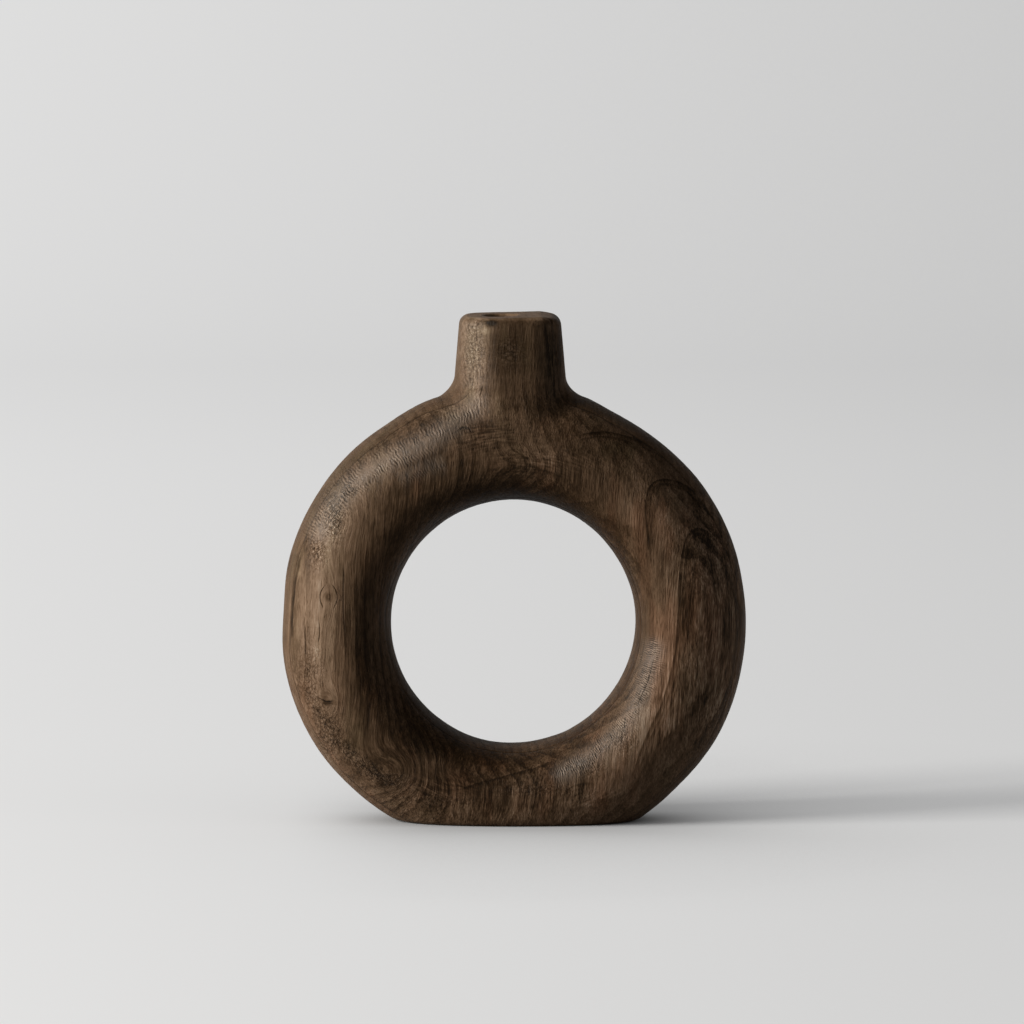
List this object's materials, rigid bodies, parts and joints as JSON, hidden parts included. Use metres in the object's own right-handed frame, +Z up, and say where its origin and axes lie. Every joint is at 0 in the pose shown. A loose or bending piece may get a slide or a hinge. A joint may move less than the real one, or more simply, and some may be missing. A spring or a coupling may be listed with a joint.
{
  "type": "vase",
  "caption": "Ring-shaped carved wooden vase on a flat foot, with a short neck and a narrow blind bore for dried stems.",
  "frame": {"origin": "on the surface that the vase stands on, under the middle of the ring", "axes": "+Z up, +X to the right seen from the front, -Y to the front, so the hole runs along Y"},
  "size_m": [0.2254, 0.06, 0.2468],
  "materials": {
    "front_wood": "dark stained, wire-brushed, satin wax",
    "core_wood": "dark stained, wire-brushed, satin wax",
    "back_wood": "dark stained, wire-brushed, satin wax"
  },
  "bodies": {
    "root": {"front_board": "front_wood", "core_board": "core_wood", "back_board": "back_wood"}
  },
  "joints": []
}
